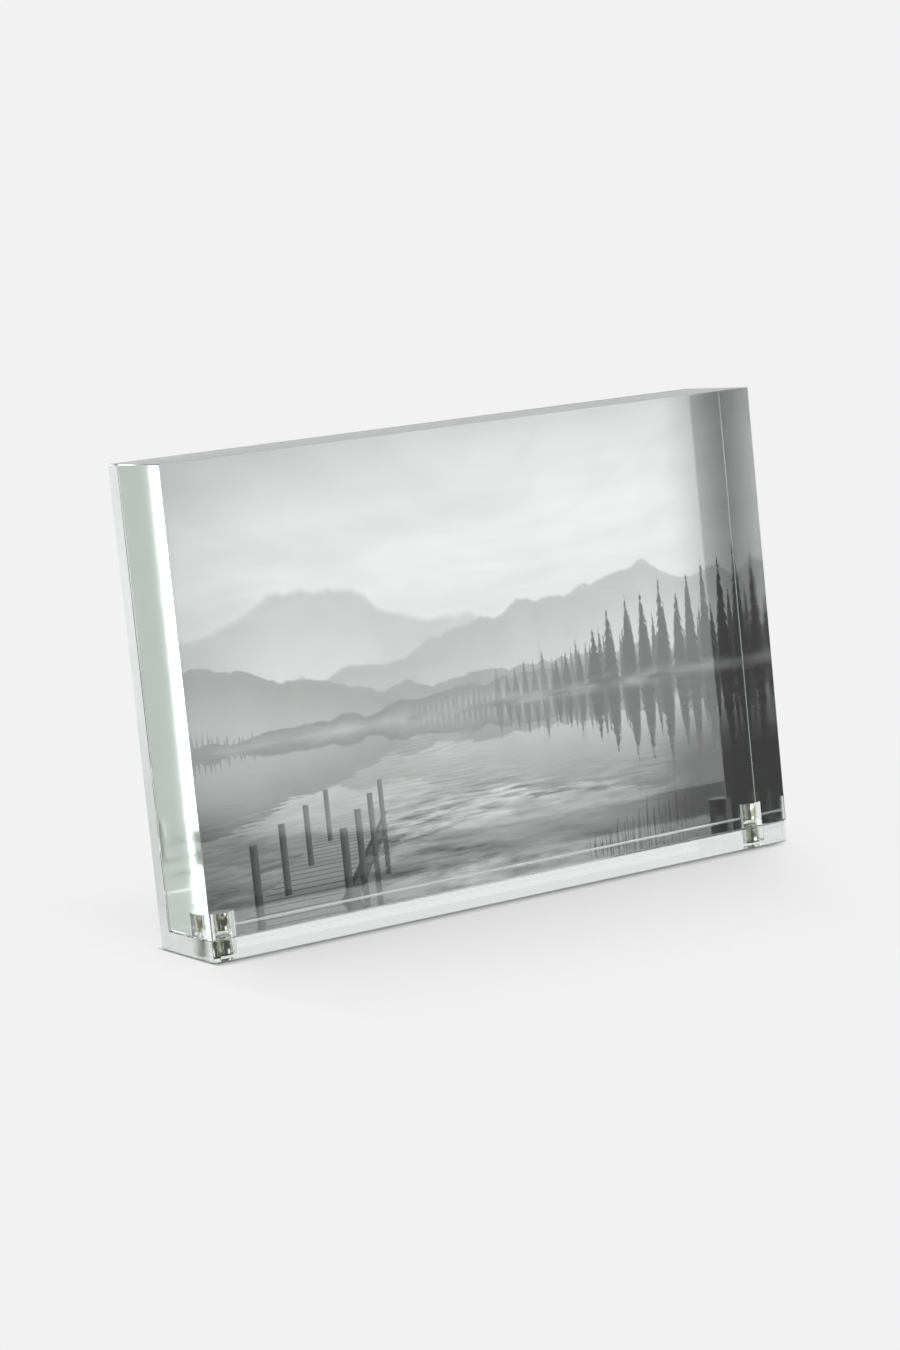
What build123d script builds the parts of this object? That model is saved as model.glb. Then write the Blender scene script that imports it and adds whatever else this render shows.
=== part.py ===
"""Acrylic block frame: a thick clear block stands on an L shaped clear stand and
presses a print against the stand's back panel. Magnets in the block's underside
meet magnets in the base plate."""

import os

from build123d import *

# The frame stands on Z = 0, with the origin at the middle of its footprint.
# +X runs along the picture, +Y from the front face to the back panel.

# Print, a landscape photograph that fills the whole face of the block
print_width = 152.0
print_height = 102.0
print_thickness = 0.25
print_face_clearance = 0.1

# Front block
block_depth = 20.0
block_arris = 0.2

# Stand, of two sheets bonded to an L
base_thickness = 4.8
panel_thickness = 4.8
front_lip = 0.5
base_corner_radius = 1.5
stand_arris = 0.3
seat_clearance = 0.1

# Magnets and their bores
magnet_diameter = 5.0
magnet_length = 4.0
magnet_edge_break = 0.25
magnet_end_inset = 6.0
magnet_front_inset = 10.0
bore_side_clearance = 0.5
block_magnet_recess = 0.65
base_magnet_recess = 0.45
adhesive_film = 0.05

# Worked out from front to back
print_gap = print_thickness + 2 * print_face_clearance
stand_depth = front_lip + block_depth + print_gap + panel_thickness
base_front_y = -stand_depth / 2
block_front_y = base_front_y + front_lip
block_middle_y = block_front_y + block_depth / 2
print_middle_y = block_front_y + block_depth + print_gap / 2
panel_middle_y = stand_depth / 2 - panel_thickness / 2
magnet_y = block_front_y + magnet_front_inset

# Worked out from the table upwards
block_bottom_z = base_thickness + seat_clearance
panel_height = seat_clearance + print_height

# Magnet places and bores
magnet_radius = magnet_diameter / 2
bore_radius = magnet_radius + bore_side_clearance
block_bore_depth = block_magnet_recess + magnet_length + adhesive_film
base_bore_depth = base_magnet_recess + magnet_length + adhesive_film
magnet_right_x = print_width / 2 - magnet_end_inset
magnet_x_by_side = {"left": -magnet_right_x, "right": magnet_right_x}
magnet_places = [(magnet_x, magnet_y) for magnet_x in magnet_x_by_side.values()]

os.makedirs("parts", exist_ok=True)


# Front block: polished on all six sides, with two blind bores in its underside
with BuildPart() as front_block:
    with BuildSketch(Plane.XY.offset(block_bottom_z)):
        with Locations((0, block_middle_y)):
            Rectangle(print_width, block_depth)
    extrude(amount=print_height)
    chamfer(front_block.edges(), length=block_arris)
    with BuildSketch(Plane.XY.offset(block_bottom_z)):
        with Locations(*magnet_places):
            Circle(bore_radius)
    extrude(amount=block_bore_depth, mode=Mode.SUBTRACT)

front_block.part.label = "front_block"
export_step(front_block.part, "parts/front_block.step")


# Base plate: runs under the block and the back panel, bored from above, with rounded
# front corners. Its rear top edge stays sharp, where the back panel is bonded flush.
with BuildPart() as base_plate:
    with BuildSketch(Plane.XY):
        Rectangle(print_width, stand_depth)
    extrude(amount=base_thickness)
    front_corner_edges = base_plate.edges().filter_by(Axis.Z).group_by(Axis.Y)[0]
    fillet(front_corner_edges, radius=base_corner_radius)
    rear_corner_edges = base_plate.edges().filter_by(Axis.Z).group_by(Axis.Y)[-1]
    foot_edges = base_plate.edges().group_by(Axis.Z)[0]
    rim_edges = base_plate.edges().group_by(Axis.Z)[-1].sort_by(Axis.Y)[:-1]
    chamfer(foot_edges + rear_corner_edges + rim_edges, length=stand_arris)
    with BuildSketch(Plane.XY.offset(base_thickness)):
        with Locations(*magnet_places):
            Circle(bore_radius)
    extrude(amount=-base_bore_depth, mode=Mode.SUBTRACT)

base_plate.part.label = "base_plate"
export_step(base_plate.part, "parts/base_plate.step")


# Back panel: bonded upright to the rear of the base plate, level with the block's top
with BuildPart() as back_panel:
    with BuildSketch(Plane.XY.offset(base_thickness)):
        with Locations((0, panel_middle_y)):
            Rectangle(print_width, panel_thickness)
    extrude(amount=panel_height)
    top_edges = back_panel.edges().group_by(Axis.Z)[-1]
    upright_edges = back_panel.edges().filter_by(Axis.Z)
    chamfer(top_edges + upright_edges, length=stand_arris)

back_panel.part.label = "back_panel"
export_step(back_panel.part, "parts/back_panel.step")


# Print: stands on the base plate between the block and the back panel
with BuildPart() as photo_print:
    with BuildSketch(Plane.XY.offset(block_bottom_z)):
        with Locations((0, print_middle_y)):
            Rectangle(print_width, print_thickness)
    extrude(amount=print_height)

photo_print.part.label = "photo_print"
export_step(photo_print.part, "parts/photo_print.step")


# Magnets: each sits at the bottom of its bore on a film of adhesive
for side, magnet_x in magnet_x_by_side.items():
    with BuildPart() as block_magnet:
        with BuildSketch(Plane.XY.offset(block_bottom_z + block_magnet_recess)):
            with Locations((magnet_x, magnet_y)):
                Circle(magnet_radius)
        extrude(amount=magnet_length)
        chamfer(block_magnet.edges().filter_by(GeomType.CIRCLE), length=magnet_edge_break)

    block_magnet.part.label = f"block_magnet_{side}"
    export_step(block_magnet.part, f"parts/block_magnet_{side}.step")

    with BuildPart() as base_magnet:
        with BuildSketch(Plane.XY.offset(base_thickness - base_magnet_recess)):
            with Locations((magnet_x, magnet_y)):
                Circle(magnet_radius)
        extrude(amount=-magnet_length)
        chamfer(base_magnet.edges().filter_by(GeomType.CIRCLE), length=magnet_edge_break)

    base_magnet.part.label = f"base_magnet_{side}"
    export_step(base_magnet.part, f"parts/base_magnet_{side}.step")
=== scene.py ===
"""Looks of the acrylic block frame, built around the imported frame. Lengths are in metres."""

import math

import bmesh
import bpy
from mathutils import Matrix, Quaternion, Vector


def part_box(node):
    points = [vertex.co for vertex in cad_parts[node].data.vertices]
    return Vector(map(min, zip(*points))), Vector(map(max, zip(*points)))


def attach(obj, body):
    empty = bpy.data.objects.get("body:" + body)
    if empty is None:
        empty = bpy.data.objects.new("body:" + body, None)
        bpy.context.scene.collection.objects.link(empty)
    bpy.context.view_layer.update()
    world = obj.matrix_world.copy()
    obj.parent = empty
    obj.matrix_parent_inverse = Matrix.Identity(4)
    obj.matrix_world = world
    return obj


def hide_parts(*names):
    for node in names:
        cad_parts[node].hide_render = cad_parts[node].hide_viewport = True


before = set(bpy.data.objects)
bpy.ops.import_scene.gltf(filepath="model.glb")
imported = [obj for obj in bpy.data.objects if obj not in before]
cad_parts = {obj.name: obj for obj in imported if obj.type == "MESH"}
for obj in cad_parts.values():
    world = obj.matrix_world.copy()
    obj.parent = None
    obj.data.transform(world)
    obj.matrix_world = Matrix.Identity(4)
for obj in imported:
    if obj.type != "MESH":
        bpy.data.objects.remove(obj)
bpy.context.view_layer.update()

MM = 0.001
scene = bpy.context.scene
scene.view_settings.view_transform = "Standard"

# Light takes many turns inside the polished acrylic before it leaves
LIGHT_TURNS = 40
scene.cycles.max_bounces = LIGHT_TURNS
scene.cycles.glossy_bounces = LIGHT_TURNS
scene.cycles.transmission_bounces = LIGHT_TURNS
scene.cycles.use_denoising = True

# Places read from the frame
BLOCK_LOW, BLOCK_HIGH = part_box("front_block")
BASE_LOW, BASE_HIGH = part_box("base_plate")
PANEL_LOW, PANEL_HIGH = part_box("back_panel")
PRINT_LOW, PRINT_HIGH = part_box("photo_print")
PRINT_WIDTH = PRINT_HIGH.x - PRINT_LOW.x
PRINT_HEIGHT = PRINT_HIGH.z - PRINT_LOW.z
SIDES = ("left", "right")

magnet_boxes = {
    (row, side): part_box(f"{row}_magnet_{side}") for row in ("block", "base") for side in SIDES
}
magnet_low, magnet_high = magnet_boxes["block", "left"]

# Sizes that the frame's boxes don't give
ARRIS_BLOCK = 0.2 * MM
ARRIS_STAND = 0.3 * MM
BASE_CORNER_RADIUS = 1.5 * MM
MAGNET_RADIUS = (magnet_high.x - magnet_low.x) / 2
MAGNET_EDGE = 0.25 * MM
BORE_SIDE_CLEARANCE = 0.5 * MM
BORE_RADIUS = MAGNET_RADIUS + BORE_SIDE_CLEARANCE
ADHESIVE_FILM = 0.05 * MM


def magnet_places(row):
    """Place (x, y) of each magnet in a row, the left one first."""
    boxes = [magnet_boxes[row, side] for side in SIDES]
    return [((low.x + high.x) / 2, (low.y + high.y) / 2) for low, high in boxes]


# Camera, at the photograph's place: in front of the frame's left half, a little above it
CAMERA_PLACE = Vector((-383.0, -650.4, 145.6)) * MM
CAMERA_AZIMUTH = math.radians(-30.24)
CAMERA_ELEVATION = math.radians(7.18)
CAMERA_ROLL = math.radians(-5.75)
CAMERA_LENS = 90.03
CAMERA_SENSOR = 36.0
CAMERA_NEAR = 10 * MM
CAMERA_FAR = 20.0


def direction(azimuth, elevation):
    """Unit vector from the frame towards a viewer at that azimuth and elevation."""
    flat = math.cos(elevation)
    return Vector((math.sin(azimuth) * flat, -math.cos(azimuth) * flat, math.sin(elevation)))


def make_camera():
    data = bpy.data.cameras.new("camera")
    data.lens = CAMERA_LENS
    data.sensor_width = CAMERA_SENSOR
    data.clip_start = CAMERA_NEAR
    data.clip_end = CAMERA_FAR
    camera = bpy.data.objects.new("camera", data)
    scene.collection.objects.link(camera)
    look = -direction(CAMERA_AZIMUTH, CAMERA_ELEVATION)
    camera.location = CAMERA_PLACE
    camera.rotation_mode = "QUATERNION"
    camera.rotation_quaternion = look.to_track_quat("-Z", "Y") @ Quaternion((0, 0, 1), CAMERA_ROLL)
    scene.camera = camera


# Shader formulas
class Signal:
    """One number that a socket carries. Formulas with it add their nodes to its tree."""

    def __init__(self, tree, socket):
        self.tree = tree
        self.socket = socket

    def math(self, operation, *others):
        node = self.tree.nodes.new("ShaderNodeMath")
        node.operation = operation
        for entry, value in zip(node.inputs, (self, *others)):
            plug(self.tree, value, entry)
        return Signal(self.tree, node.outputs[0])

    def __add__(self, other):
        return self.math("ADD", other)

    __radd__ = __add__

    def __sub__(self, other):
        return self.math("SUBTRACT", other)

    def __rsub__(self, other):
        return (self * -1.0) + other

    def __mul__(self, other):
        return self.math("MULTIPLY", other)

    __rmul__ = __mul__

    def __truediv__(self, other):
        return self.math("DIVIDE", other)

    def __rtruediv__(self, other):
        return self.math("POWER", -1.0) * other

    def __abs__(self):
        return self.math("ABSOLUTE")

    def rise(self, low, high):
        """0 at low, 1 at high, and a smooth step between them."""
        node = self.tree.nodes.new("ShaderNodeMapRange")
        node.interpolation_type = "SMOOTHSTEP"
        plug(self.tree, self, node.inputs["Value"])
        plug(self.tree, low, node.inputs["From Min"])
        plug(self.tree, high, node.inputs["From Max"])
        return Signal(self.tree, node.outputs["Result"])

    def fall(self, low, high):
        """1 at low, 0 at high, and a smooth step between them."""
        return 1.0 - self.rise(low, high)

    def either(self, other):
        """The greater of the two."""
        return self.math("MAXIMUM", other)

    def toward(self, other, share):
        """This value where share is 0, and other where it is 1."""
        return self + (other - self) * share

    def swing(self, size):
        """A value from 0 to 1, as a noise is, turned into one about 0 with that reach in all."""
        return (self - 0.5) * size


def plug(tree, value, entry):
    if isinstance(value, Signal):
        tree.links.new(value.socket, entry)
    else:
        entry.default_value = value


def vector_of(tree, x, y, z):
    node = tree.nodes.new("ShaderNodeCombineXYZ")
    for value, entry in zip((x, y, z), node.inputs):
        plug(tree, value, entry)
    return node.outputs[0]


def coordinates(tree, kind="Object"):
    """The three coordinates of the shaded point, in metres for the kind Object."""
    source = tree.nodes.new("ShaderNodeTexCoord")
    split = tree.nodes.new("ShaderNodeSeparateXYZ")
    tree.links.new(source.outputs[kind], split.inputs[0])
    return [Signal(tree, output) for output in split.outputs]


def noise(tree, x, y, z, scale=1.0, detail=3.0, roughness=0.5):
    """Fractal noise about 0.5, of the point x, y, z."""
    node = tree.nodes.new("ShaderNodeTexNoise")
    node.inputs["Scale"].default_value = scale
    node.inputs["Detail"].default_value = detail
    node.inputs["Roughness"].default_value = roughness
    tree.links.new(vector_of(tree, x, y, z), node.inputs["Vector"])
    return Signal(tree, node.outputs["Fac"])


def chance(tree, number):
    """A value from 0 to 1 that jumps about from one number to the next."""
    node = tree.nodes.new("ShaderNodeTexWhiteNoise")
    node.noise_dimensions = "1D"
    plug(tree, number, node.inputs["W"])
    return Signal(tree, node.outputs["Value"])


def colour_of(tree, red, green, blue):
    node = tree.nodes.new("ShaderNodeCombineColor")
    for value, entry in zip((red, green, blue), node.inputs):
        plug(tree, value, entry)
    return node.outputs[0]


def grey(tree, value):
    return colour_of(tree, value, value, value)


def new_material(name, shader_kind="ShaderNodeBsdfPrincipled"):
    """A node material that holds one shader, on its surface."""
    material = bpy.data.materials.new(name)
    material.use_nodes = True
    tree = material.node_tree
    tree.nodes.clear()
    out = tree.nodes.new("ShaderNodeOutputMaterial")
    shader = tree.nodes.new(shader_kind)
    tree.links.new(shader.outputs[0], out.inputs["Surface"])
    return material, tree, shader


def set_bump(tree, shader, height, distance, strength=1.0):
    node = tree.nodes.new("ShaderNodeBump")
    node.inputs["Strength"].default_value = strength
    node.inputs["Distance"].default_value = distance
    plug(tree, height, node.inputs["Height"])
    tree.links.new(node.outputs[0], shader.inputs["Normal"])


# Depths of the fine marks on each kind of surface
CAST_BUMP = 2.0e-6
SAW_BUMP = 6.0e-6
DRILL_BUMP = 3.0e-6
PLATING_BUMP = 4.0e-6
FIBRE_BUMP = 6.0e-6
PRINT_BUMP = 3.0e-6

# Acrylic
ACRYLIC_IOR = 1.49
BLOCK_DYE = (0.36, 0.49, 0.42)
BLOCK_DYE_DENSITY = 4.4
SHEET_COLOUR = (0.862, 0.888, 0.876)
SHEET_ROUGHNESS = 0.02
END_ROUGHNESS = 0.10
TOP_ROUGHNESS = 0.05
BORE_ROUGHNESS = 0.06
SAWN_TONE = 0.94
SAWN_TINT = (0.965, 1.0, 0.985)
# How much the sawn faces darken along the foot: a painted contact shadow
SAWN_FOOT_PAINTED_SHADE = 0.75
SAWN_ROUGHNESS = 0.38
SAWN_FINER_SHARE = 0.75
FACE_DEPTH = 0.1 * MM
FACE_BLEND = 0.2 * MM


def clear(shader, colour=(1.0, 1.0, 1.0)):
    shader.inputs["Base Color"].default_value = (*colour, 1.0)
    shader.inputs["Transmission Weight"].default_value = 1.0
    shader.inputs["IOR"].default_value = ACRYLIC_IOR


def bore_distance(x, y):
    """Distance from the axis of the block's nearer bore."""
    place_x, place_y = magnet_places("block")[1]
    across = abs(x) - place_x
    along = y - place_y
    return (across * across + along * along).math("SQRT")


def block_acrylic():
    """The block's two large faces are as cast, and its cut faces are polished a little less."""
    material, tree, shader = new_material("block_acrylic")
    clear(shader)
    x, y, z = coordinates(tree)
    on_end = (BLOCK_HIGH.x - abs(x)).fall(FACE_DEPTH, FACE_BLEND)
    on_top = (BLOCK_HIGH.z - z).fall(FACE_DEPTH, FACE_BLEND)
    off_foot = (z - BLOCK_LOW.z).rise(FACE_DEPTH, FACE_BLEND)
    in_bore = off_foot * (BORE_RADIUS + FACE_DEPTH - bore_distance(x, y)).rise(0.0, FACE_DEPTH)
    polish_waves = noise(tree, x, y * 4.0, z, scale=160.0, detail=2.0)
    rough = on_end * END_ROUGHNESS
    rough = rough.either(on_top * TOP_ROUGHNESS).either(in_bore * BORE_ROUGHNESS)
    plug(tree, rough * (0.8 + polish_waves * 0.4), shader.inputs["Roughness"])
    set_bump(tree, shader, polish_waves, CAST_BUMP)
    volume = tree.nodes.new("ShaderNodeVolumeAbsorption")
    volume.inputs["Color"].default_value = (*BLOCK_DYE, 1.0)
    volume.inputs["Density"].default_value = BLOCK_DYE_DENSITY
    tree.links.new(volume.outputs[0], tree.get_output_node("ALL").inputs["Volume"])
    return material


def sheet_acrylic():
    """Cast sheet of the stand: its faces are very slightly wavy."""
    material, tree, shader = new_material("stand_acrylic")
    clear(shader, SHEET_COLOUR)
    x, y, z = coordinates(tree)
    waves = noise(tree, x, y, z, scale=70.0, detail=2.0)
    plug(tree, waves * SHEET_ROUGHNESS, shader.inputs["Roughness"])
    set_bump(tree, shader, waves, CAST_BUMP)
    return material


def sawn_acrylic():
    """Sawn edge of the stand's sheet: a milky satin with fine lines along it, finer at the right end,
    and a painted contact shadow along the foot."""
    material, tree, shader = new_material("stand_sawn_edge")
    clear(shader)
    x, y, z = coordinates(tree)
    cloudy = noise(tree, x, y, z, scale=220.0, detail=4.0)
    lines = noise(tree, x * 9000.0, y * 9000.0, z * 160.0, scale=1.0, detail=2.0)
    # Painted shade: the sawn faces darken along the foot, where the contact shadow falls
    painted_foot_shade = (z - BASE_LOW.z).fall(ARRIS_STAND * 0.8, ARRIS_STAND * 1.3)
    tone = SAWN_TONE + cloudy.swing(0.04) + lines.swing(0.03)
    tone = tone * (1.0 - painted_foot_shade * SAWN_FOOT_PAINTED_SHADE)
    tree.links.new(colour_of(tree, *[tone * part for part in SAWN_TINT]), shader.inputs["Base Color"])
    on_right = x.rise(BASE_HIGH.x - 1 * MM, BASE_HIGH.x)
    rough = (SAWN_ROUGHNESS + cloudy * 0.12) * (1.0 - on_right * SAWN_FINER_SHARE)
    plug(tree, rough, shader.inputs["Roughness"])
    set_bump(tree, shader, lines, SAW_BUMP)
    return material


def bored_acrylic():
    """Wall of a drilled hole in the stand, with the drill's fine rings."""
    material, tree, shader = new_material("bored_acrylic")
    clear(shader, SHEET_COLOUR)
    x, y, z = coordinates(tree)
    rings = noise(tree, x * 200.0, y * 200.0, z * 6000.0, scale=1.0, detail=2.0)
    plug(tree, BORE_ROUGHNESS * (0.6 + rings * 0.8), shader.inputs["Roughness"])
    set_bump(tree, shader, rings, DRILL_BUMP)
    return material


PLATING_DARK = (0.46, 0.46, 0.37)
PLATING_BRIGHT = (0.70, 0.70, 0.60)
PLATING_ROUGHNESS = 0.07


def nickel():
    """Bright nickel plating with fine turned lines round the magnet."""
    material, tree, shader = new_material("nickel_plating")
    x, y, z = coordinates(tree)
    shade = noise(tree, x, y, z, scale=900.0, detail=3.0).rise(0.3, 0.7)
    colour = tree.nodes.new("ShaderNodeMix")
    colour.data_type = "RGBA"
    plug(tree, shade, colour.inputs["Factor"])
    colour.inputs["A"].default_value = (*PLATING_DARK, 1.0)
    colour.inputs["B"].default_value = (*PLATING_BRIGHT, 1.0)
    tree.links.new(colour.outputs["Result"], shader.inputs["Base Color"])
    shader.inputs["Metallic"].default_value = 1.0
    plug(tree, PLATING_ROUGHNESS + shade * 0.06, shader.inputs["Roughness"])
    lines = noise(tree, x * 0.05, y * 0.05, z, scale=9000.0, detail=2.0)
    set_bump(tree, shader, lines, PLATING_BUMP, strength=0.4)
    return material


PAPER_TONE = 0.86
PAPER_ROUGHNESS = 0.40


def photo_paper_white():
    material, tree, shader = new_material("photo_paper_back")
    x, y, z = coordinates(tree)
    fibres = noise(tree, x, y, z, scale=2500.0, detail=4.0)
    cloudy = noise(tree, x, y, z, scale=60.0, detail=2.0)
    plug(tree, PAPER_ROUGHNESS + cloudy * 0.08, shader.inputs["Roughness"])
    tree.links.new(grey(tree, PAPER_TONE + fibres.swing(0.05)), shader.inputs["Base Color"])
    set_bump(tree, shader, fibres, FIBRE_BUMP)
    return material


# Picture: a jetty on a still mountain lake at dawn, in greys.
# u runs from 0 at the left edge to PICTURE_END at the right, v from 0 at the foot to 1 at the top.
# A tone is 0 for black and 1 for white.
PICTURE_END = 1.49
SHORE_V = 0.37
GLOW_U = 0.66
GLOW_V = 0.60
SKY_TONE = 0.75
MIST_TONE = 0.72
FAR_FIR_TONE = 0.30
DECK_TONE = 0.27
DECK_SIDE_TONE = 0.075
POST_TONE = 0.03
MIRRORED_POST_TONE = 0.07
REED_TONE = 0.03
MARGIN_TONE = 0.85
DARKEST_TONE = 0.012
BRIGHTEST_TONE = 0.92

# Mountains, the farthest first: middle and reach in u, foot and height in v, scale and seed of
# the crest's noise, tone, and softness of the crest
MOUNTAINS = (
    (0.34, 0.42, 0.42, 0.27, 2.6, 3.1, 0.63, 0.010),
    (1.18, 0.46, 0.41, 0.23, 3.4, 7.7, 0.52, 0.005),
    (0.02, 0.36, 0.38, 0.18, 5.0, 12.4, 0.38, 0.003),
    (0.95, 0.60, 0.36, 0.07, 9.0, 21.3, 0.27, 0.002),
)

# Rows of firs, the farthest first: start and end in u, height, width of a tree's cell, seed, tone
FIR_ROWS = (
    (0.58, 1.10, 0.070, 0.014, 3.0, 0.27),
    (0.80, 1.22, 0.150, 0.024, 11.0, 0.17),
    (0.93, 1.36, 0.200, 0.031, 7.0, 0.095),
    (1.02, 1.45, 0.300, 0.046, 5.0, 0.035),
)

# Tufts of reeds: width of a blade's cell, height, lean, seed
REED_TUFTS = (
    (0.021, 0.17, 0.9, 2.0),
    (0.015, 0.13, -0.7, 9.0),
    (0.011, 0.10, 0.5, 4.0),
)


def sky(tree, u, v):
    """Thin cloud that closes up towards the hills, brightest where the sun stands behind it."""
    away = 1.0 / (v - SHORE_V + 0.22)
    across = (u - GLOW_U) * away
    drift = noise(tree, across, away, 3.1, scale=0.8, detail=3.0) - 0.5
    bank_x = across * 0.8 + drift
    bank_y = away + drift * 1.5
    banks = noise(tree, bank_x, bank_y, 1.7, scale=1.3, detail=6.0, roughness=0.55)
    streak_x = across * 0.5 + drift * 0.6
    streaks = noise(tree, streak_x, away * 3.2, 6.4, scale=1.5, detail=6.0, roughness=0.6)
    side = (u - GLOW_U) * 1.6
    height = (v - GLOW_V) * 2.6
    glow = ((side * side + height * height) * -1.0).math("EXPONENT")
    light = SKY_TONE + glow * 0.15
    light = light + banks.rise(0.32, 0.68).swing(0.17) * v.rise(0.45, 0.80)
    return light + streaks.swing(0.22)


def below_crest(tree, u, v, middle, reach, foot, height, scale, seed):
    """How far the point lies below the crest of a mountain about its middle."""
    side = (u - middle) / reach
    body = (side * side * -1.0).math("EXPONENT")
    line = noise(tree, u, seed, 0.0, scale=scale, detail=7.0, roughness=0.52)
    ridges = 1.0 - abs(line - 0.5) * 3.2
    return foot + (body * 0.62 + ridges * 0.38) * height - v


def mountains(tree, u, v, tone):
    """Mountains behind each other, each with slopes and with mist at its foot."""
    for middle, reach, foot, height, scale, seed, shade, softness in MOUNTAINS:
        below = below_crest(tree, u, v, middle, reach, foot, height, scale, seed)
        slopes = noise(tree, u * 2.0 + v, v * 3.0, seed, scale=7.0, detail=7.0, roughness=0.6)
        mist = below.rise(0.0, height * 0.75)
        face = shade + mist * 0.17 + slopes.swing(0.16) * (1.0 - mist)
        tone = tone.toward(face, below.rise(-softness, softness))
    return tone


def cells_along(tree, u, cell, seed):
    """Place along a row of cells, the whole number of the place's cell, and its own chance value."""
    place = u / cell + seed
    number = place.math("FLOOR")
    return place, number, chance(tree, number)


def fir_row(tree, u, v, start, end, height, cell, seed):
    """A row of firs on the shore, one in each cell, that grows taller from start to end."""
    place, number, own = cells_along(tree, u, cell, seed)
    middle = 0.5 + chance(tree, number + 0.5).swing(0.5)
    across = abs(place - number - middle)
    grown = ((number + 0.5 - seed) * cell).rise(start, end)
    along = (v - SHORE_V) / ((0.35 + own * 0.35 + grown * 0.30) * height)
    tier = (along * (7.0 + own * 4.0) + across * 2.2).math("FRACT")
    ragged = noise(tree, u, v, seed, scale=5.0 / cell, detail=3.0, roughness=0.65)
    reach = (1.0 - along) * (0.62 - tier * 0.26) + ragged.swing(0.30)
    return (reach - across).rise(-0.03, 0.05) * along.fall(0.96, 1.0) * grown.rise(0.0, 0.02)


def shore_land(tree, u, v, tone):
    """Low banks with firs to the right, darker towards the edge, and a few far off at the left."""
    low_bank = (v - SHORE_V).fall(0.004, 0.009)
    for start, end, height, cell, seed, shade in FIR_ROWS:
        bank = low_bank * u.rise(start, start + 0.02)
        dark = fir_row(tree, u, v, start, end, height, cell, seed).either(bank)
        tone = tone.toward(shade, dark)
    left = 0.9 - u
    far_firs = fir_row(tree, left, v, start=0.66, end=0.9, height=0.055, cell=0.012, seed=8.0)
    return tone.toward(FAR_FIR_TONE, far_firs.either(low_bank * left.rise(0.64, 0.68)))


def lake_and_land(tree, u, v):
    """The land above the shore line and, below it, its own mirror image in slow ripples."""
    below = (SHORE_V - v).rise(0.0, 0.002)
    depth = SHORE_V - v
    near = depth.rise(0.0, SHORE_V)
    away = 1.0 / (abs(depth) + 0.03)
    swell = noise(tree, (u - 0.7) * away, away * 2.4, 2.2, scale=2.6, detail=5.0, roughness=0.6) - 0.5
    breeze = noise(tree, u * 0.8, v * 5.0, 7.0, scale=2.0, detail=4.0).rise(0.42, 0.62)
    shake = swell * (0.4 + breeze) * below
    land_v = SHORE_V + abs(depth) + shake * (0.02 + near * 0.10)
    land_u = u + shake * near * 0.03
    tone = sky(tree, land_u, land_v)
    tone = mountains(tree, land_u, land_v, tone)
    tone = shore_land(tree, land_u, land_v, tone)

    path = (abs(u - GLOW_U) / (0.10 + near * 0.34)).fall(0.1, 1.3)
    dim = 0.90 - near * 0.50 - near * u.rise(0.85, 1.30) * 0.16
    water = tone * dim + shake * (0.22 + near * 0.45)
    water = water + path * (0.05 + shake * 1.1)
    wisps = noise(tree, u, v * 4.0, 5.0, scale=6.0, detail=4.0).rise(0.35, 0.7)
    mist = abs(depth).fall(0.0, 0.030) * wisps
    tone = tone.toward(water, below)
    return tone.toward(MIST_TONE, mist * 0.45)


# Jetty: a plane of planks that runs towards a far point over the shore line
EYE_V = SHORE_V + 0.02
JETTY_LEFT = -1.34
JETTY_RIGHT = -0.72
JETTY_REACH = 5.0
DECK_THICKNESS = 0.055
SHADOW_DROP = 0.17
PLANKS_PER_UNIT = 10.0
POST_HALF = 0.030
POST_DEPTHS = (4.6, 3.9, 3.3, 2.8)
POST_DROP = 0.17
POST_TOP = 0.36
MIRROR_DROP = 0.62
POST_BLEND = 0.01


def deck_share(u, v):
    """1 on the plane's stretch that the jetty takes up, with its depth and its place across."""
    away = 1.0 / (EYE_V - v).either(0.05)
    across = (u - GLOW_U) * away
    right_of_edge = across.rise(JETTY_LEFT, JETTY_LEFT + 0.008)
    left_of_edge = across.fall(JETTY_RIGHT - 0.008, JETTY_RIGHT)
    share = right_of_edge * left_of_edge * away.fall(JETTY_REACH - 0.03, JETTY_REACH)
    return share, away, across


def post_share(u, v, across, away, drop, top):
    """1 on an upright post at a place of the jetty, from drop below the deck to top above it."""
    middle = GLOW_U + across / away
    deck_v = EYE_V - 1.0 / away
    half = POST_HALF / away
    on_width = abs(u - middle).fall(half * 0.85, half)
    over_foot = v.rise(deck_v - drop / away, deck_v - (drop - POST_BLEND) / away)
    under_top = v.fall(deck_v + (top - POST_BLEND) / away, deck_v + top / away)
    return on_width * over_foot * under_top


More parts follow.
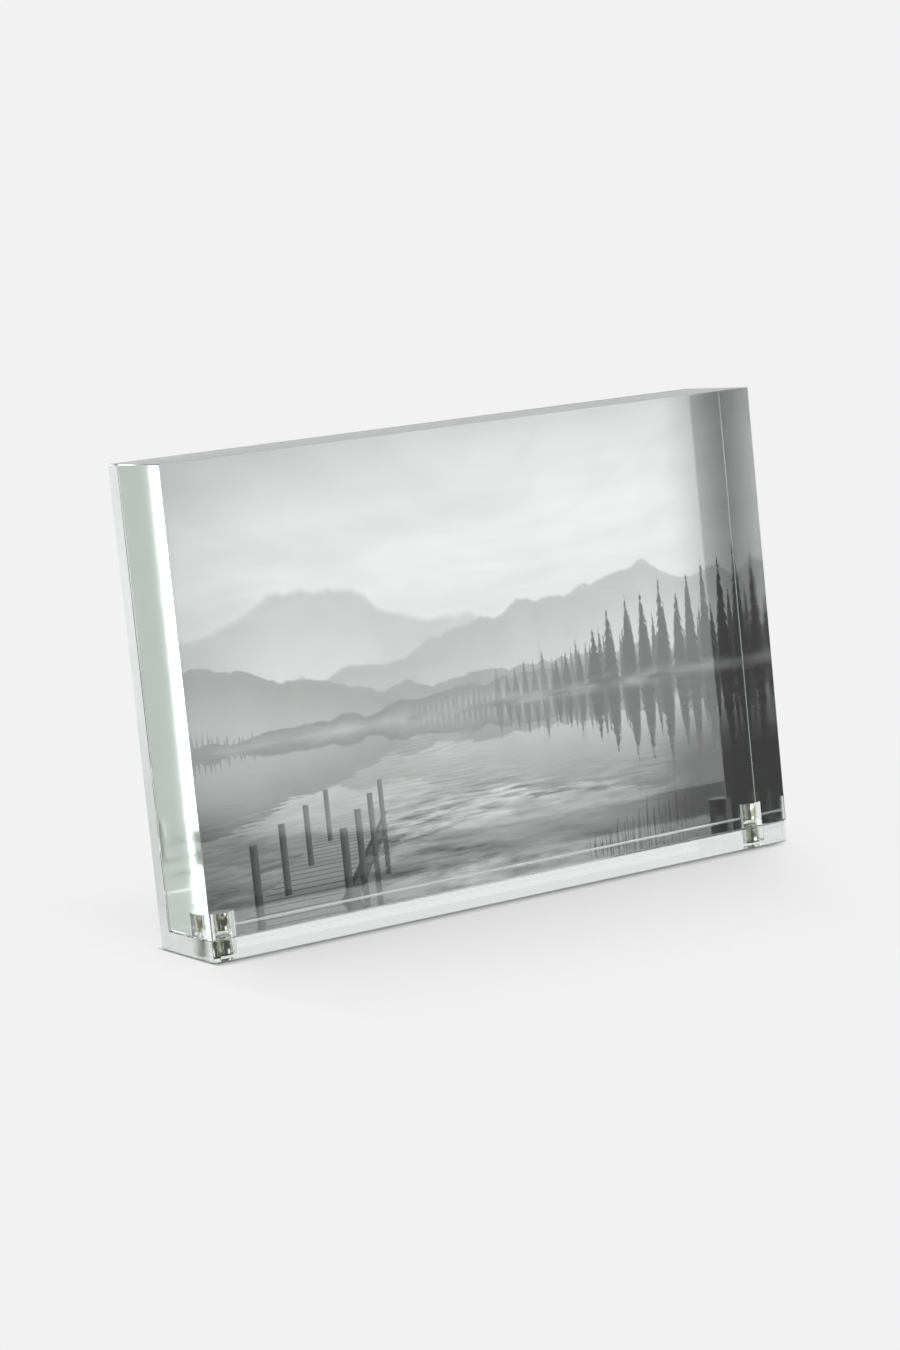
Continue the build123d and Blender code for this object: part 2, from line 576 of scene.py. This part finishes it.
def jetty(tree, u, v, tone):
    deck, away, across = deck_share(u, v)
    shadow = deck_share(u, v + SHADOW_DROP / away)[0]
    side = deck_share(u, v + DECK_THICKNESS / away)[0]
    ripple = noise(tree, across * 2.0, away * 14.0, 4.0, scale=1.0, detail=3.0) - 0.5
    tone = tone.toward(tone * 0.30 + 0.03, shadow * 0.9)

    post_places = [(edge, depth) for depth in POST_DEPTHS for edge in (JETTY_LEFT, JETTY_RIGHT)]
    for edge, depth in post_places:
        mirror = post_share(u + ripple * 0.05 / depth, v, edge, depth, MIRROR_DROP, 0.0)
        tone = tone.toward(MIRRORED_POST_TONE, mirror * 0.75)

    number = (away * PLANKS_PER_UNIT).math("FLOOR")
    along_plank = (away * PLANKS_PER_UNIT).math("FRACT")
    gap = along_plank.fall(0.02, 0.16).either(along_plank.rise(0.90, 1.0))
    grain = noise(tree, across * 3.0, away * 160.0, number * 0.37, scale=1.0, detail=4.0, roughness=0.6)
    wood = DECK_TONE + away * 0.045 + chance(tree, number).swing(0.13) + grain.swing(0.22)
    tone = tone.toward(DECK_SIDE_TONE, side)
    tone = tone.toward(wood * (1.0 - gap * 0.72), deck)
    for edge, depth in post_places:
        post = post_share(u, v, edge, depth, POST_DROP, POST_TOP)
        round_light = (u - (GLOW_U + edge / depth)).rise(-POST_HALF / depth, POST_HALF / depth)
        bark = noise(tree, u * 9.0, v, edge + depth, scale=30.0, detail=3.0)
        tone = tone.toward(POST_TONE + round_light * 0.11 + bark * 0.06, post)
    return tone


def reeds(tree, u, v, tone):
    """Thin bent reeds that stand in the water at the lower right."""
    for cell, height, lean, seed in REED_TUFTS:
        place, number, own = cells_along(tree, u, cell, seed)
        grown = ((number - seed) * cell).rise(0.98, 1.40)
        along = v / ((0.30 + own * 0.70) * height * (0.25 + grown)).either(0.01)
        bend = along * along * (own - 0.5 + lean * 0.3)
        across = abs(place - number - 0.5 - bend * 0.55)
        blade = (0.10 * (1.0 - along * 0.8) - across).rise(-0.03, 0.03) * along.fall(0.95, 1.0)
        tone = tone.toward(REED_TONE, blade * grown.rise(0.0, 0.05))
    return tone


def print_finish(tree, u, v, tone):
    """The print's dim corners, a darker left end, a painted shade over its right end, silver grain
    and hairline of white paper.
    """
    half_width = PICTURE_END / 2
    side = (u - half_width) / half_width
    height = (v - 0.5) / 0.5
    corner = (side * side + height * height).rise(0.5, 2.2)
    # Painted shade: the print darkens over its last stretch to the right end, where less light reaches
    # it inside the block
    painted_shade_at_right = u.rise(1.30, PICTURE_END)
    off_left = u.rise(0.0, 0.30)
    tone = tone * (1.0 - corner * 0.16) * (1.0 - painted_shade_at_right * 0.55) * (0.86 + off_left * 0.14)
    near_bank = v.fall(0.13, 0.35) * u.rise(1.14, 1.36)
    tone = tone * (1.0 - near_bank)
    grain = noise(tree, u, v, 0.3, scale=330.0, detail=2.0, roughness=0.7)
    tone = (tone + grain.swing(0.045)).either(DARKEST_TONE).math("MINIMUM", BRIGHTEST_TONE)
    return tone.toward(MARGIN_TONE, v.fall(0.0022, 0.0030))


def picture():
    material, tree, shader = new_material("photo_print_face")
    x, y, z = coordinates(tree)
    u = (x - PRINT_LOW.x) / PRINT_HEIGHT
    v = (z - PRINT_LOW.z) / PRINT_HEIGHT
    tone = lake_and_land(tree, u, v)
    tone = jetty(tree, u, v, tone)
    tone = reeds(tree, u, v, tone)
    tone = print_finish(tree, u, v, tone)
    tree.links.new(grey(tree, tone), shader.inputs["Base Color"])
    smooth = noise(tree, x, y, z, scale=180.0, detail=2.0)
    plug(tree, 0.05 + smooth * 0.05, shader.inputs["Roughness"])
    set_bump(tree, shader, smooth, PRINT_BUMP)
    return material


# Meshes
SHARP_ANGLE = math.radians(35)
FLAT_COSINE = 0.9999
ROUND_STEPS = 128
ARRIS_STEPS = 2
BASE_CORNER_STEPS = 14
SAWN_INDEX = 1
BACK_INDEX = 1
MAGNET_EDGE_STEPS = 4
PAPER_STEPS_X = 76
PAPER_STEPS_Z = 51

# The paper's slight waves: their height in all, and a length for each of the three
PAPER_WAVE = 0.03 * MM
WAVE_ACROSS = 21.0 * MM
WAVE_UP = 33.0 * MM
WAVE_SLANTED = 46.0 * MM


def object_from(bm, name, materials):
    mesh = bpy.data.meshes.new(name)
    bm.normal_update()
    bm.to_mesh(mesh)
    bm.free()
    for material in materials:
        mesh.materials.append(material)
    made = bpy.data.objects.new(name, mesh)
    scene.collection.objects.link(made)
    return made


def smooth_where_round(made):
    """Round stretches are shaded smooth, and the flat faces, all square to an axis, stay truly flat."""
    made.data.set_sharp_from_angle(angle=SHARP_ANGLE)
    for polygon in made.data.polygons:
        polygon.use_smooth = max(abs(c) for c in polygon.normal) < FLAT_COSINE


def rectangle(low_y, high_y, low_z, high_z):
    return [(low_y, low_z), (high_y, low_z), (high_y, high_z), (low_y, high_z)]


def swept_outline(outline, low_x, high_x):
    """A closed solid: the outline of (y, z) points swept along X. Also gives each corner's long edge."""
    bm = bmesh.new()
    ends = [[bm.verts.new((x, y, z)) for y, z in outline] for x in (low_x, high_x)]
    bm.faces.new(ends[0])
    bm.faces.new(reversed(ends[1]))
    count = len(outline)
    for i in range(count):
        j = (i + 1) % count
        bm.faces.new((ends[0][j], ends[0][i], ends[1][i], ends[1][j]))
    bmesh.ops.recalc_face_normals(bm, faces=bm.faces)
    return bm, [bm.edges.get(pair) for pair in zip(*ends)]


def upright_cylinder(place, radius, low_z, high_z):
    """A closed cylinder about a place (x, y)."""
    bm = bmesh.new()
    middle = Matrix.Translation((*place, (low_z + high_z) / 2))
    bmesh.ops.create_cone(bm, cap_ends=True, segments=ROUND_STEPS, radius1=radius, radius2=radius,
                          depth=high_z - low_z, matrix=middle)
    return bm


def bevel(bm, edges, offset, segments):
    bmesh.ops.bevel(bm, geom=edges, offset=offset, segments=segments, profile=0.5, affect="EDGES")


def sharp_edges(bm, left_out=()):
    return [e for e in bm.edges if e.calc_face_angle() > SHARP_ANGLE and e not in left_out]


def drill(made, places, low_z, high_z, bore_material):
    """Cuts a round bore into made about each place (x, y), from low_z to high_z."""
    for place in places:
        bm = upright_cylinder(place, BORE_RADIUS, low_z, high_z)
        cutter = object_from(bm, "cutter", [bore_material])
        cut = made.modifiers.new("bore", "BOOLEAN")
        cut.operation = "DIFFERENCE"
        cut.solver = "EXACT"
        cut.material_mode = "TRANSFER"
        cut.object = cutter
        evaluated = made.evaluated_get(bpy.context.evaluated_depsgraph_get())
        result = bpy.data.meshes.new_from_object(evaluated)
        made.modifiers.clear()
        made.data = result
        bpy.data.objects.remove(cutter)


def make_block(acrylic):
    outline = rectangle(BLOCK_LOW.y, BLOCK_HIGH.y, BLOCK_LOW.z, BLOCK_HIGH.z)
    bm = swept_outline(outline, BLOCK_LOW.x, BLOCK_HIGH.x)[0]
    bm.normal_update()
    bevel(bm, sharp_edges(bm), ARRIS_BLOCK, ARRIS_STEPS)
    made = object_from(bm, "clear_block", [acrylic])
    ceiling = magnet_boxes["block", "left"][1].z + ADHESIVE_FILM
    below = BLOCK_LOW.z - (ceiling - BLOCK_LOW.z)
    drill(made, magnet_places("block"), below, ceiling, acrylic)
    smooth_where_round(made)
    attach(made, "block")
    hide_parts("front_block")


def base_front_corners(bm):
    """The upright edges at the base plate's two front corners."""
    near_edge = BASE_LOW.y + ARRIS_STAND
    in_front = [e for e in bm.edges if all(v.co.y < near_edge for v in e.verts)]
    return [e for e in in_front if abs(e.verts[0].co.x - e.verts[1].co.x) < ARRIS_STAND]


def make_stand(sheet, sawn, bored):
    """Base plate and back panel as one clear L: the solvent bond doesn't show."""
    outline = [
        (BASE_LOW.y, BASE_LOW.z),
        (BASE_HIGH.y, BASE_LOW.z),
        (PANEL_HIGH.y, PANEL_HIGH.z),
        (PANEL_LOW.y, PANEL_HIGH.z),
        (PANEL_LOW.y, BASE_HIGH.z),
        (BASE_LOW.y, BASE_HIGH.z),
    ]
    bm, long_edges = swept_outline(outline, BASE_LOW.x, BASE_HIGH.x)
    rear_foot, inner_corner = long_edges[1], long_edges[4]
    for face in bm.faces:
        on_top = face.normal.z > FLAT_COSINE and face.calc_center_median().z > BASE_HIGH.z
        if on_top or abs(face.normal.x) > FLAT_COSINE:
            face.material_index = SAWN_INDEX
    bevel(bm, base_front_corners(bm), BASE_CORNER_RADIUS, BASE_CORNER_STEPS)
    bm.normal_update()
    bevel(bm, sharp_edges(bm, left_out=(rear_foot, inner_corner)), ARRIS_STAND, ARRIS_STEPS)
    for face in bm.faces:
        if face.calc_center_median().z < BASE_LOW.z + ARRIS_STAND and face.normal.z > -FLAT_COSINE:
            face.material_index = SAWN_INDEX
    made = object_from(bm, "clear_stand", [sheet, sawn, bored])
    floor_z = magnet_boxes["base", "left"][0].z - ADHESIVE_FILM
    above = BASE_HIGH.z + (BASE_HIGH.z - floor_z)
    drill(made, magnet_places("base"), floor_z, above, bored)
    smooth_where_round(made)
    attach(made, "stand")
    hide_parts("base_plate", "back_panel")


def make_magnet(row, side, body, metal):
    low, high = magnet_boxes[row, side]
    place = magnet_places(row)[SIDES.index(side)]
    bm = upright_cylinder(place, MAGNET_RADIUS, low.z, high.z)
    bevel(bm, sharp_edges(bm), MAGNET_EDGE, MAGNET_EDGE_STEPS)
    name = f"{row}_magnet_{side}"
    made = object_from(bm, f"plated_{name}", [metal])
    smooth_where_round(made)
    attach(made, body)
    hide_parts(name)


def paper_wave(x, z):
    wave = math.sin(x / WAVE_ACROSS) * math.cos(z / WAVE_UP + 0.6)
    return PAPER_WAVE * 0.5 * (wave + math.sin((x + z) / WAVE_SLANTED))


def paper_layer(bm, y):
    """Rows of points over one face of the print, from the foot up."""
    rows = []
    for j in range(PAPER_STEPS_Z + 1):
        z = PRINT_LOW.z + PRINT_HEIGHT * j / PAPER_STEPS_Z
        xs = [PRINT_LOW.x + PRINT_WIDTH * i / PAPER_STEPS_X for i in range(PAPER_STEPS_X + 1)]
        rows.append([bm.verts.new((x, y + paper_wave(x, z), z)) for x in xs])
    return rows


def make_print(face, back):
    """A sheet of photo paper that isn't perfectly flat between its two clear faces."""
    bm = bmesh.new()
    front, rear = paper_layer(bm, PRINT_LOW.y), paper_layer(bm, PRINT_HIGH.y)
    for j in range(PAPER_STEPS_Z):
        for i in range(PAPER_STEPS_X):
            bm.faces.new((front[j][i], front[j][i + 1], front[j + 1][i + 1], front[j + 1][i]))
            quad = bm.faces.new((rear[j][i], rear[j + 1][i], rear[j + 1][i + 1], rear[j][i + 1]))
            quad.material_index = BACK_INDEX
    rim = [(0, i) for i in range(PAPER_STEPS_X)]
    rim += [(j, PAPER_STEPS_X) for j in range(PAPER_STEPS_Z)]
    rim += [(PAPER_STEPS_Z, i) for i in range(PAPER_STEPS_X, 0, -1)]
    rim += [(j, 0) for j in range(PAPER_STEPS_Z, 0, -1)]
    for (j, i), (k, m) in zip(rim, rim[1:] + rim[:1]):
        quad = bm.faces.new((front[j][i], rear[j][i], rear[k][m], front[k][m]))
        quad.material_index = BACK_INDEX
    bmesh.ops.recalc_face_normals(bm, faces=bm.faces)
    made = object_from(bm, "photo_paper", [face, back])
    smooth_where_round(made)
    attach(made, "print")
    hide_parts("photo_print")


# Studio: a pale floor that fades into the background, soft light all round, and a lit sweep in
# front that shows only inside the acrylic. A light's strength is 1 for white.
WHITE = (1.0, 1.0, 1.0, 1.0)
BACKGROUND = 0.887
TURNED_LIGHT = 0.82

# Floor. Its shade is told from the base plate's outline, which is stretched off the left end
FLOOR_RADIUS = 3.0
FLOOR_DROP = 0.1 * MM
LEFT_STRETCH = 12.0
RIGHT_STRETCH = 0.7
RIGHT_INSET = 6 * MM
CONTACT_NEAR = 0.5 * MM
CONTACT_FAR = 5 * MM
# Painted contact shadow: the share by which the floor's colour darkens at the base plate's outline
PAINTED_CONTACT_SHADE = 0.22
SHADE_FILL = 0.40
SHADE_START = 4 * MM
SHADE_NEAR = 45 * MM
SHADE_FAR = 115 * MM
SHADE_LEAN = 0.5
SHADE_CORE = 58 * MM
SHADE_SIDE = 84 * MM
SHADE_SIDE_FILL = 0.85
CLEAR_NEAR = 30 * MM
CLEAR_FAR = 90 * MM
CLEAR_SHARE = 0.9

# The sweep lies in front of the block, curves up, and is bright only on its right side
SWEEP_NEAR = 60 * MM
SWEEP_PLAIN = 130 * MM
SWEEP_PLAIN_BLEND = 5 * MM
SWEEP_FAR = 300 * MM
SWEEP_BEND = 60 * MM
SWEEP_BEND_STEPS = 8
SWEEP_LEFT = -900 * MM
SWEEP_RIGHT = 500 * MM
SWEEP_FADE = 300 * MM
SWEEP_TOP = 300 * MM
SWEEP_LIFT = 0.2 * MM
SEEN_BRIGHT = 2.4
SEEN_DARK = 0.12
PIPED_LIGHT = 5.0
LIT_BRIGHT = 3.0
LIT_DARK = 1.3

# The line where the sweep turns bright leans to the left with distance, down to TURN_X
TURN_DRIFT = 0.72
TURN_START = 88 * MM
TURN_X = 8 * MM
TURN_BLEND = 0.25
NEAR_LEFT_EDGE = -40 * MM
NEAR_LEFT_BLEND = 5 * MM

# The tongue is a strip of the sweep that reaches back beside the block's right end. Its left edge
# leans to the right with distance
TONGUE_DRIFT = 0.45
TONGUE_NEAR = 5 * MM
TONGUE_GAP = 0.5 * MM
TONGUE_WIDTH = 80 * MM
TONGUE_BLEND = 2 * MM

# The floor's dark patch, between the block and the sweep, which only turned rays find
PATCH_LIGHT = 0.12
PATCH_RIGHT = 80 * MM
PATCH_BLEND = 2 * MM

# Azimuths of the dark room behind the camera, from the front face's normal
DARK_MIDDLE = math.radians(-32)
DARK_HALF = math.radians(48)
DARK_BLEND = math.radians(14)
DARK_LIGHT = 0.16

# The room's far side is a little darker than the rest, up to a low height
REAR_MIDDLE = math.radians(150)
REAR_HALF = math.radians(45)
REAR_TOP = 0.09
REAR_LIGHT = 0.64

# The soft light stands almost overhead, within a pale room, and the acrylic lets more of it through
# from above
ROOM_LIGHT = 0.60
LAMP_LIGHT = 0.92
LAMP_TILT = math.radians(5)
LAMP_EDGE = math.radians(60)
LAMP_CORE = math.radians(10)
THROUGH_LIGHT = 0.95
THROUGH_RISE = 0.45


class Rays:
    """Shares that are 1 for one kind of ray and 0 for the others. A ray that looks hasn't met a matt
    surface yet, and one that lights has. A turned ray has been reflected, a piped one five or six
    times."""

    def __init__(self, tree):
        path = tree.nodes.new("ShaderNodeLightPath")
        camera, glossy, transmitted = [
            Signal(tree, path.outputs[f"Is {kind} Ray"]) for kind in ("Camera", "Glossy", "Transmission")
        ]
        lights = Signal(tree, path.outputs["Diffuse Depth"]).math("GREATER_THAN", 0.5)
        turns = Signal(tree, path.outputs["Glossy Depth"])
        turned = turns.math("GREATER_THAN", 0.5)
        five_or_six_turns = turns.math("GREATER_THAN", 4.5) * turns.math("LESS_THAN", 6.5)
        self.looks = camera.either(glossy).either(transmitted) * (1.0 - lights)
        self.looks_turned = self.looks * turned
        self.looks_piped = self.looks * five_or_six_turns
        self.looks_through = self.looks * transmitted
        self.lights_through = transmitted * lights


def outside_base(x, y):
    """Distance of a place on the floor from the base plate's outline. It is stretched off the left
    end, and already grows before the right end, where the plate casts less shade."""
    off_left = (BASE_LOW.x - x).either(0.0) * LEFT_STRETCH
    off_right = (x - BASE_HIGH.x + RIGHT_INSET).either(0.0) * RIGHT_STRETCH
    before = (abs(y) - BASE_HIGH.y).either(0.0)
    return (off_left * off_left + off_right * off_right + before * before).math("SQRT")


def plain_floor_share(x, y, through):
    """Share of the plain background in the floor. The object's shade keeps to the floor in front of
    it, and the floor behind, seen through the acrylic, is almost plain."""
    off = outside_base(x, y)
    behind = y - BASE_HIGH.y
    clear_behind = behind.rise(0.0, CONTACT_NEAR) * behind.fall(CLEAR_NEAR, CLEAR_FAR)
    ahead = (BASE_LOW.y - y).either(0.0)
    aside = abs(x + ahead * SHADE_LEAN).rise(SHADE_CORE, SHADE_SIDE) * SHADE_SIDE_FILL
    beyond = off.rise(SHADE_NEAR, SHADE_FAR).either(aside)
    share = off.rise(CONTACT_NEAR, SHADE_START) * (SHADE_FILL + beyond * (1.0 - SHADE_FILL))
    return share.either(clear_behind * through * CLEAR_SHARE)


def patch_share(x, y):
    """1 on the floor's dark patch."""
    ahead = BASE_LOW.y - y
    share = ahead.fall(SWEEP_NEAR, SWEEP_NEAR + PATCH_BLEND) * ahead.rise(0.0, 1 * MM)
    return share * (x + ahead * TURN_DRIFT).fall(PATCH_RIGHT - PATCH_BLEND, PATCH_RIGHT + PATCH_BLEND)


def make_floor():
    """A matt floor, mixed with the plain background by the place and by the kind of ray."""
    material, tree, plain = new_material("studio_floor", "ShaderNodeEmission")
    plain.inputs["Color"].default_value = WHITE
    matt = tree.nodes.new("ShaderNodeBsdfDiffuse")
    mix = tree.nodes.new("ShaderNodeMixShader")
    x, y, z = coordinates(tree)
    mottle = noise(tree, x, y, z, scale=40.0, detail=3.0)
    # Painted shade: the floor's colour darkens close to the base plate's outline, as a contact shadow
    painted_contact_shadow = outside_base(x, y).fall(CONTACT_NEAR, CONTACT_FAR)
    tint = (BACKGROUND + mottle.swing(0.006)) * (1.0 - painted_contact_shadow * PAINTED_CONTACT_SHADE)
    tree.links.new(grey(tree, tint), matt.inputs["Color"])
    rays = Rays(tree)
    patch = patch_share(x, y)
    plain_share = plain_floor_share(x, y, rays.looks_through) * rays.looks
    plug(tree, plain_share.either(rays.looks_turned * patch), mix.inputs["Fac"])
    turned_light = TURNED_LIGHT + patch * (PATCH_LIGHT - TURNED_LIGHT)
    strength = rays.looks_turned * (turned_light - BACKGROUND) + BACKGROUND
    plug(tree, strength, plain.inputs["Strength"])
    tree.links.new(matt.outputs[0], mix.inputs[1])
    tree.links.new(plain.outputs[0], mix.inputs[2])
    tree.links.new(mix.outputs[0], tree.get_output_node("ALL").inputs["Surface"])
    bm = bmesh.new()
    level = Matrix.Translation((0, 0, BASE_LOW.z - FLOOR_DROP))
    bmesh.ops.create_circle(bm, cap_ends=True, segments=ROUND_STEPS, radius=FLOOR_RADIUS, matrix=level)
    object_from(bm, "floor", [material])


def sweep_strength(tree):
    """Light of the sweep, for rays that look after a turn and for those that carry light."""
    x, y = coordinates(tree)[:2]
    rays = Rays(tree)
    ahead = BLOCK_LOW.y - y
    half_blend = ((ahead - SWEEP_NEAR) * TURN_BLEND).either(1 * MM)
    turn_x = (TURN_START - ahead * TURN_DRIFT).either(TURN_X)
    right = (x - turn_x).rise(half_blend * -1.0, half_blend)
    near = ahead.fall(SWEEP_PLAIN - SWEEP_PLAIN_BLEND, SWEEP_PLAIN + SWEEP_PLAIN_BLEND)
    near_left = near * x.fall(NEAR_LEFT_EDGE - NEAR_LEFT_BLEND, NEAR_LEFT_EDGE + NEAR_LEFT_BLEND)
    on_tongue = ahead.fall(SWEEP_NEAR - 0.1 * MM, SWEEP_NEAR)
    beside_end = (x - BLOCK_HIGH.x - ahead * TONGUE_DRIFT).rise(0.0, TONGUE_BLEND)
    at_end = x.rise(SWEEP_FADE, SWEEP_RIGHT)
    lit = (LIT_DARK + right * (LIT_BRIGHT - LIT_DARK)).toward(BACKGROUND, near)
    lit = lit.toward(BACKGROUND, rays.looks.either(at_end))
    seen = SEEN_DARK + right * (SEEN_BRIGHT - SEEN_DARK)
    seen = seen.toward(TURNED_LIGHT, on_tongue.either(near_left))
    seen = seen.toward(PIPED_LIGHT, beside_end * rays.looks_piped).toward(BACKGROUND, at_end)
    return lit.toward(seen, rays.looks_turned)


def sweep_profile(low_z):
    """Points (ahead, z) from the near edge, along the floor and round the bend to the top."""
    profile = [(SWEEP_NEAR, low_z)]
    for step in range(SWEEP_BEND_STEPS + 1):
        turn = math.pi / 2 * step / SWEEP_BEND_STEPS
        ahead = SWEEP_FAR - SWEEP_BEND + math.sin(turn) * SWEEP_BEND
        profile.append((ahead, low_z + (1 - math.cos(turn)) * SWEEP_BEND))
    return profile + [(SWEEP_FAR, SWEEP_TOP)]


def make_sweep():
    """The sweep with its tongue. Only rays that come through the acrylic meet it."""
    material, tree, glow = new_material("lit_sweep", "ShaderNodeEmission")
    glow.inputs["Color"].default_value = WHITE
    material.cycles.emission_sampling = "NONE"
    plug(tree, sweep_strength(tree), glow.inputs["Strength"])
    low_z = BASE_LOW.z + SWEEP_LIFT
    bm = bmesh.new()
    rows = []
    for ahead, z in sweep_profile(low_z):
        rows.append([bm.verts.new((x, BLOCK_LOW.y - ahead, z)) for x in (SWEEP_LEFT, SWEEP_RIGHT)])
    for low, high in zip(rows, rows[1:]):
        bm.faces.new((low[0], low[1], high[1], high[0]))
    tongue = []
    for ahead, widths in ((TONGUE_NEAR, (0, TONGUE_WIDTH)), (SWEEP_NEAR, (TONGUE_WIDTH, 0))):
        left = BLOCK_HIGH.x + TONGUE_DRIFT * ahead + TONGUE_GAP
        tongue += [bm.verts.new((left + width, BLOCK_LOW.y - ahead, low_z)) for width in widths]
    bm.faces.new(tongue)
    sweep = object_from(bm, "sweep", [material])
    sweep.visible_camera = False
    sweep.visible_diffuse = False
    sweep.visible_glossy = False
    sweep.visible_shadow = False


def make_world():
    """A pale room with a soft light overhead. Reflections find the room dark behind the camera."""
    world = bpy.data.worlds.new("studio")
    scene.world = world
    world.use_nodes = True
    tree = world.node_tree
    tree.nodes.clear()
    out = tree.nodes.new("ShaderNodeOutputWorld")
    room = tree.nodes.new("ShaderNodeBackground")
    room.inputs["Color"].default_value = WHITE
    x, y, z = coordinates(tree, "Generated")
    rays = Rays(tree)
    off_lamp = y * math.sin(LAMP_TILT) + z * math.cos(LAMP_TILT)
    dome = ROOM_LIGHT + off_lamp.rise(math.cos(LAMP_EDGE), math.cos(LAMP_CORE)) * LAMP_LIGHT
    through = THROUGH_LIGHT + z * THROUGH_RISE
    azimuth = x.math("ARCTAN2", y * -1.0)
    dark = abs(azimuth - DARK_MIDDLE).fall(DARK_HALF - DARK_BLEND, DARK_HALF + DARK_BLEND)
    rear = abs(azimuth - REAR_MIDDLE).fall(REAR_HALF - DARK_BLEND, REAR_HALF + DARK_BLEND)
    low_rear = rear * z.fall(REAR_TOP, REAR_TOP * 1.6)
    light = dome.toward(through, rays.lights_through).toward(BACKGROUND, rays.looks)
    light = light.toward(REAR_LIGHT, rays.looks_turned * low_rear)
    light = light.toward(DARK_LIGHT, rays.looks_turned * dark)
    plug(tree, light, room.inputs["Strength"])
    tree.links.new(room.outputs[0], out.inputs["Surface"])


make_camera()
plating = nickel()
make_block(block_acrylic())
make_stand(sheet_acrylic(), sawn_acrylic(), bored_acrylic())
make_print(picture(), photo_paper_white())
for side in SIDES:
    make_magnet("block", side, "block", plating)
    make_magnet("base", side, "stand", plating)

make_floor()
make_sweep()
make_world()
